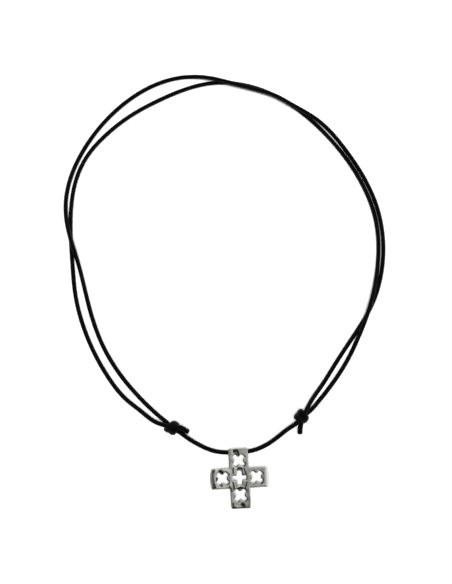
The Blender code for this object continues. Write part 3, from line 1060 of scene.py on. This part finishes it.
    def dress(self, piece: bpy.types.Object) -> None:
        """Gives the cross its finish, and tells it where it is recessed, painted dark or only satin.

        Args:
            piece: the drilled cross.
        """
        data = piece.data
        places = at_points(data, "co").astype(float) / MM
        normals = at_points(data, "normal")
        x, y, z = places.T
        depth = self.front(x, y) - z
        holes = self.near_shapes(places)
        way = self.channel
        bore = np.hypot(y - way.y, z - way.height) < way.radius + self.bore_margin
        recess = np.where(bore, 1.0, holes * ramp(depth, *self.recess_depths))
        # The outer walls and their rims, which are dulled and darkened a little, those that face up the
        # cross less
        sides = ramp(depth, *self.side_depths) * (z > self.back_bevel) * ~holes * ~bore
        sides *= 1 - self.top_side_sparing * np.clip(normals[:, 1], 0.0, 1.0)
        painted_shade_and_wall_dark = self.painted_shade_and_wall_dark(places, normals, holes, sides)
        carry(data, "recess", np.maximum(recess, sides))
        # Painted dark reflections and the outer walls' darkening, kept near the front and on the outer walls
        carry(data, "painted_shade_and_wall_dark", np.where((depth < self.mark_depth) | (sides > 0), painted_shade_and_wall_dark, 0.0))
        carry(data, "satin", ramp(z, *self.satin_heights))
        data.materials.clear()
        data.materials.append(self.finish.material())
        data.shade_smooth()
        data.set_sharp_from_angle(angle=math.radians(self.sharp_angle))

    def build(self) -> bpy.types.Object:
        """Builds and dresses the cross.

        Returns:
            The finished piece, which rides on the necklace.
        """
        piece = shown(self.name, self.body())
        tool = self.channel.drill()
        cut = piece.modifiers.new("channel", "BOOLEAN")
        cut.operation = "DIFFERENCE"
        cut.solver = "EXACT"
        cut.object = tool
        bpy.context.view_layer.update()
        ready = piece.evaluated_get(bpy.context.evaluated_depsgraph_get())
        data = bpy.data.meshes.new_from_object(ready)
        piece.modifiers.clear()
        piece.data = data
        data.name = self.name
        bpy.data.objects.remove(tool)
        self.dress(piece)
        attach(piece, "root")
        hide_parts("cross_pendant")
        return piece


# The cord


@dataclass
class SlidingKnot:
    """A knot that one run's end makes round the other run.

    Its own frame is along the run that passes through it and towards the cross, then towards the side of the
    run that is tied, then up, from the middle of the knot.
    """

    place: Pair
    heading: float
    approach: list[Pair]
    tail: list[Point]
    cord_radius: float = 1.0
    gap: float = 0.2
    lean: float = 0.0
    wrap_start: float = -2.0
    wrap_turn: float = 545.0
    wrap_step: float = 30.0

    @property
    def axis(self) -> np.ndarray:
        """The direction of the run that passes through the knot."""
        turn = math.radians(self.heading)
        return np.array([math.cos(turn), math.sin(turn), 0.0])

    def points(self) -> list[Point]:
        """The tied run's way into the knot, round the run inside it, and out to its cut end.

        Returns:
            The points of its middle line.
        """
        radius = 2 * self.cord_radius + self.gap
        local = [(along, beside, -radius) for along, beside in self.approach]
        for step in range(int(self.wrap_turn // self.wrap_step) + 1):
            swept = step * self.wrap_step
            angle = math.radians(-90 - swept)
            along = self.wrap_start + radius * swept / 360 + self.lean * math.cos(angle)
            local.append((along, radius * math.cos(angle), radius * math.sin(angle)))
        turn = Matrix.Rotation(math.radians(self.heading), 3, "Z")
        centre = Vector((*self.place, radius + self.cord_radius))
        return [tuple(turn @ Vector(point) + centre) for point in local + self.tail]


@dataclass
class CordRun:
    """One run of the cord, from inside the cross round the loop to the cut end of its knot."""

    name: str
    side: Side
    route: list[Point]
    knot: SlidingKnot
    replaced: tuple[str, str]
    length: float
    channel: Channel = field(default_factory=Channel)
    radius: float = 1.0
    unevenness: float = 0.018
    uneven_scale: float = 0.13
    uneven_seeds: Pair = (9.7, 1.3)
    pressed_wide: float = 1.75
    pressed_thin: float = 0.98
    tightens: Pair = (-2.5, 1.5)
    loosens: Pair = (-0.5, 2.5)
    tail_swell: float = 0.14
    swells: Pair = (-1.5, 2.0)
    end_round: float = 0.3
    end_thinning: float = 0.28
    end_rings: tuple[float, ...] = (1.0, 0.6, 0.3, 0.1, 0.0)
    spacing: float = 0.4
    sides: int = 24
    lowest: float = 0.004
    grain_shift: float = 3.1
    sharp_angle: float = 50.0
    finish: WaxedLeather = field(default_factory=WaxedLeather)
    cut_finish: CutLeather = field(default_factory=CutLeather)

    def line(self) -> tuple[np.ndarray, np.ndarray, np.ndarray]:
        """The cord's middle line, its radius along it, and how firmly it is pulled tight.

        Returns:
            The places, one row each, the radii and a share that is 1 in the knot's wraps, in millimetres.
        """
        route = self.channel.way_out(self.side) + self.route
        curve = SmoothCurve(route + self.knot.points())
        end = curve.marks[-1]
        marks = np.linspace(0.0, end, math.ceil(end / self.spacing) + 1)
        rounding = [end - self.end_round * share for share in self.end_rings]
        marks = np.concatenate([marks[marks < rounding[0] - self.spacing / 2], rounding])
        places = curve.at(marks)
        places[:, 2] = np.maximum(places[:, 2], self.radius)
        wraps = curve.marks[len(route) + len(self.knot.approach)]
        tail = curve.marks[-len(self.knot.tail)]
        tight = ramp(marks - wraps, *self.tightens) * ramp(tail - marks, *self.loosens)
        first, second = self.uneven_seeds
        spots = [(mark * self.uneven_scale, self.side.value * first, second) for mark in marks]
        uneven = self.unevenness * np.array([noise.noise(Vector(spot)) for spot in spots])
        radii = self.radius * (1 + self.tail_swell * ramp(marks - tail, *self.swells)) + uneven
        radii *= 1 - self.end_thinning * ramp(marks, rounding[0], end) ** 2
        return places, radii, tight

    @staticmethod
    def frames(places: np.ndarray) -> tuple[np.ndarray, np.ndarray]:
        """Directions across the cord that turn with it as little as they can.

        Args:
            places: the middle line.

        Returns:
            The two directions across the cord at each place.
        """
        ahead = np.gradient(places, axis=0)
        ahead /= np.linalg.norm(ahead, axis=1)[:, None]
        across = np.zeros_like(places)
        start = np.cross(ahead[0], (0.0, 0.0, 1.0))
        across[0] = start / np.linalg.norm(start)
        for i in range(1, len(places)):
            turned = across[i - 1] - ahead[i] * (across[i - 1] @ ahead[i])
            across[i] = turned / np.linalg.norm(turned)
        return across, np.cross(ahead, across)

    def pressed(self, spokes: np.ndarray, tight: np.ndarray) -> np.ndarray:
        """Widens the wraps along the knot and thins them towards its middle, as pulling them tight does.

        Args:
            spokes: directions from the middle line to the surface, for each place.
            tight: how firmly each place is pulled tight.

        Returns:
            The spokes with their new lengths.
        """
        along = spokes @ self.knot.axis
        wide = (1 + (self.pressed_wide - 1) * tight)[:, None, None]
        thin = (1 + (self.pressed_thin - 1) * tight)[:, None, None]
        return spokes * thin + along[..., None] * self.knot.axis * (wide - thin)

    def build(self) -> bpy.types.Object:
        """Returns:
            The finished piece, which rides on the necklace.
        """
        places, radii, tight = self.line()
        across, up = self.frames(places)
        angles = 2 * math.pi * np.arange(self.sides) / self.sides
        circle = np.column_stack([np.cos(angles), np.sin(angles)])
        spokes = circle[None, :, :1] * across[:, None] + circle[None, :, 1:] * up[:, None]
        rings = places[:, None] + self.pressed(spokes, tight) * radii[:, None, None]
        rings[..., 2] = np.maximum(rings[..., 2], self.lowest)
        grain = np.zeros_like(rings)
        grain[..., :2] = circle[None] * radii[:, None, None]
        grain[..., 2] = distance_along(places)[:, None] + self.side.value * self.grain_shift
        data = tube(self.name, rings)
        carry(data, "grain_place", grain.reshape(-1, 3))
        data.materials.append(self.finish.material())
        data.materials.append(self.cut_finish.material())
        for end in (-1, -2):
            data.polygons[end].material_index = 1
        data.shade_smooth()
        data.set_sharp_from_angle(angle=math.radians(self.sharp_angle))
        data.validate()
        piece = shown(self.name, data)
        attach(piece, "root")
        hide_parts(*self.replaced)
        (places * MM).tolist()
        return piece


# From the cross through the right knot and anticlockwise to the left knot. The columns are X, Y and height
RIGHT_ROUTE: list[Point] = [
    (10.4, 13.0, 1.4), (16.3, 16.0, 1.7), (23.4, 20.7, 2.9), (27.4, 23.15, 3.15), (31.2, 27.5, 3.15),
    (33.9, 31.9, 2.6), (39.6, 39.4, 1.2), (47.6, 50.4, 1.0), (58.8, 65.2, 1.0), (66.6, 77.0, 1.0),
    (72.8, 93.5, 1.0), (75.0, 111.3, 1.0), (73.3, 127.5, 1.0), (60.5, 157.8, 1.1), (53.5, 168.0, 1.6),
    (47.8, 173.5, 2.6), (41.7, 177.9, 3.25), (34.4, 183.1, 3.25), (28.0, 187.4, 3.1), (20.2, 190.8, 2.9),
    (4.7, 196.0, 3.3), (-3.8, 198.9, 2.8), (-12.3, 200.9, 1.2), (-20.7, 200.5, 1.0), (-33.0, 196.7, 1.0),
    (-46.2, 188.5, 1.0), (-68.8, 161.3, 1.0), (-75.0, 145.8, 1.0), (-76.6, 134.0, 1.1), (-75.7, 124.2, 2.8),
    (-74.0, 116.4, 3.3), (-72.1, 109.5, 2.5), (-70.0, 101.5, 1.0), (-65.9, 83.1, 1.0), (-59.4, 63.1, 1.0),
    (-49.4, 46.1, 1.0), (-39.45, 34.3, 1.0),
]
# From the cross through the left knot and clockwise to the right knot
LEFT_ROUTE: list[Point] = [
    (-11.0, 12.7, 1.4), (-16.7, 15.3, 1.7), (-22.5, 19.0, 2.9), (-26.3, 21.95, 3.15), (-31.35, 24.6, 3.15),
    (-36.0, 26.55, 2.5), (-42.5, 31.9, 1.2), (-49.5, 38.1, 1.0), (-57.0, 48.0, 1.0), (-68.5, 73.1, 1.0),
    (-72.1, 88.3, 1.0), (-73.5, 104.0, 1.0), (-74.2, 117.5, 1.0), (-73.9, 133.7, 1.0), (-71.4, 147.8, 1.0),
    (-65.7, 160.3, 1.0), (-57.0, 170.5, 1.0), (-44.0, 180.9, 1.0), (-30.5, 188.3, 1.0), (-15.4, 194.4, 1.0),
    (-1.0, 197.0, 1.0), (11.5, 195.5, 1.0), (24.0, 190.8, 1.0), (45.2, 174.0, 1.0), (54.7, 162.2, 1.0),
    (68.4, 136.2, 1.0), (72.1, 121.7, 1.0), (72.6, 107.8, 1.0), (71.4, 97.8, 1.0), (69.2, 88.0, 2.1),
    (66.9, 80.4, 3.0), (64.2, 73.3, 3.3), (61.3, 66.8, 3.0), (58.3, 60.8, 1.7), (54.5, 53.9, 1.0),
    (47.1, 43.2, 1.0), (37.0, 31.6, 1.0),
]
LEFT_KNOT = SlidingKnot(
    place=(-28.38, 23.6),
    heading=-30.5,
    lean=0.45,
    approach=[(-5.2, 1.3), (-4.1, 1.05), (-3.1, 0.6)],
    tail=[(2.7, 1.45, 1.4), (4.7, 1.45, 0.8), (6.9, 1.5, -0.1)],
)
RIGHT_KNOT = SlidingKnot(
    place=(29.35, 25.25),
    heading=-131.6,
    approach=[(-5.0, 1.1), (-3.9, 0.85), (-2.9, 0.5)],
    tail=[(2.9, 1.7, 1.45), (4.5, 2.65, 0.6), (6.2, 3.9, -0.5)],
)


# The studio


@dataclass
class Studio:
    """The table, the camera that looks down at it, the soft light, and the room that the silver mirrors."""

    # How far a direction leans along X, Y or Z where a part of the room begins, and where it is full
    CEILING_X, CEILING_Y = (-0.54, -0.40), (-0.45, -0.3)
    RIGHT_X, RIGHT_Y = (0.5, 0.66), (-0.8, -0.5)
    BACK_Y, LOW_Z = (0.4, 0.65), (0.75, 0.0)
    # The ceiling's two lighter strips: the middle, how far from it a strip begins and is full, and its glow
    STRIP_X, STRIP_Y = (-0.08, (0.07, 0.02), 0.28), (-0.2, (0.15, 0.05), 0.10)

    camera_place: Point = (-8.306, -44.457, 430.337)
    camera_drop: float = 73.0
    camera_turn: float = 3.0
    lens: float = 58.86
    sensor: float = 36.0
    clip: Pair = (0.01, 20.0)
    table_half: float = 3000.0
    light_from: Point = (-12.0, -220.0, 900.0)
    light_spread: float = 26.0
    light_strength: float = 3.45
    room_glow: float = 0.07
    ceiling_glow: float = 0.04
    cloud_glow: float = 0.36
    cloud_scale: float = 7.0
    right_glow: float = 0.3
    back_glow: float = 0.25
    low_glow: float = 0.3
    table: PaleTable = field(default_factory=PaleTable)

    def camera(self) -> None:
        """Sets up the camera at the viewing angle of the picture."""
        drop, turn = math.radians(self.camera_drop), math.radians(self.camera_turn)
        view = Vector((math.sin(turn) * math.cos(drop), math.cos(turn) * math.cos(drop), -math.sin(drop)))
        right = Vector((math.cos(turn), -math.sin(turn), 0.0))
        data = bpy.data.cameras.new("camera")
        data.lens = self.lens
        data.sensor_width = self.sensor
        data.clip_start, data.clip_end = self.clip
        camera = shown("camera", data)
        camera.matrix_world = Matrix((right, right.cross(view), -view)).transposed().to_4x4()
        camera.location = Vector(self.camera_place) * MM
        bpy.context.scene.camera = camera

    def floor(self) -> None:
        """Lays the table's top, which isn't part of the necklace."""
        half = self.table_half * MM
        data = bpy.data.meshes.new("table_top")
        corners = [(-half, -half, 0.0), (half, -half, 0.0), (half, half, 0.0), (-half, half, 0.0)]
        data.from_pydata(corners, [], [(0, 1, 2, 3)])
        data.materials.append(self.table.material())
        shown("table_top", data)

    def light(self) -> None:
        """Sets up one soft, even light from above and a little in front, which the silver doesn't mirror."""
        data = bpy.data.lights.new("soft_light", "SUN")
        data.angle = math.radians(self.light_spread)
        data.energy = self.light_strength
        light = shown("soft_light", data)
        light.location = Vector(self.light_from) * MM
        light.rotation_euler = (-light.location).to_track_quat("-Z", "Y").to_euler()
        light.visible_camera = False
        light.visible_glossy = False

    def room(self) -> None:
        """Makes the room that the silver mirrors, dark in front and on the left, with a cloudy ceiling."""
        world = bpy.data.worlds.new("studio_room")
        world.use_nodes = True
        bpy.context.scene.world = world
        nodes = Nodes(world.node_tree)
        direction = nodes.add("ShaderNodeTexCoord").outputs["Generated"]
        split = nodes.add("ShaderNodeSeparateXYZ", sockets={0: direction})
        x, y, z = [nodes.signal(split, axis) for axis in "XYZ"]
        ceiling = x.smooth_step(*self.CEILING_X) * y.smooth_step(*self.CEILING_Y)
        (middle_x, edges_x, glow_x), (middle_y, edges_y, glow_y) = self.STRIP_X, self.STRIP_Y
        strips = abs(x - middle_x).smooth_step(*edges_x) * glow_x
        strips = strips + abs(y - middle_y).smooth_step(*edges_y) * glow_y
        right = x.smooth_step(*self.RIGHT_X) * y.smooth_step(*self.RIGHT_Y) * self.right_glow
        back = y.smooth_step(*self.BACK_Y) * self.back_glow
        low = z.smooth_step(*self.LOW_Z) * self.low_glow
        clouds = nodes.clouds(direction, self.cloud_scale) * self.cloud_glow
        radiance = ceiling * (strips + clouds + self.ceiling_glow) + right + back + low + self.room_glow
        white = (1.0, 1.0, 1.0, 1.0)
        around = nodes.add("ShaderNodeBackground", sockets={"Color": white, "Strength": radiance})
        plain = nodes.add("ShaderNodeBackground", sockets={"Color": white, "Strength": 1.0})
        seen = nodes.add("ShaderNodeLightPath").outputs["Is Camera Ray"]
        sockets = {0: seen, 1: around.outputs[0], 2: plain.outputs[0]}
        either = nodes.add("ShaderNodeMixShader", sockets=sockets)
        nodes.add("ShaderNodeOutputWorld", sockets={"Surface": either.outputs[0]})

    def build(self) -> None:
        """Sets up everything round the necklace."""
        self.camera()
        self.floor()
        self.light()
        self.room()
        bpy.context.scene.view_settings.view_transform = "Standard"


def main() -> None:
    """Builds the studio, the cord and the cross, in that order."""
    logging.basicConfig(level=logging.INFO, format="%(name)s: %(message)s")
    noise.seed_set(NOISE_SEED)
    Studio().build()
    sub_assemblies = [
        CordRun("right_cord_run", Side.RIGHT, RIGHT_ROUTE, LEFT_KNOT, ("right_strand", "left_knot"), 0.5207),
        CordRun("left_cord_run", Side.LEFT, LEFT_ROUTE, RIGHT_KNOT, ("left_strand", "right_knot"), 0.5120),
        Pendant(),
    ]
    for sub_assembly in sub_assemblies:
        piece = sub_assembly.build()
        LOG.info("%s: %d faces", piece.name, len(piece.data.polygons))


if __name__ == "__main__":
    main()
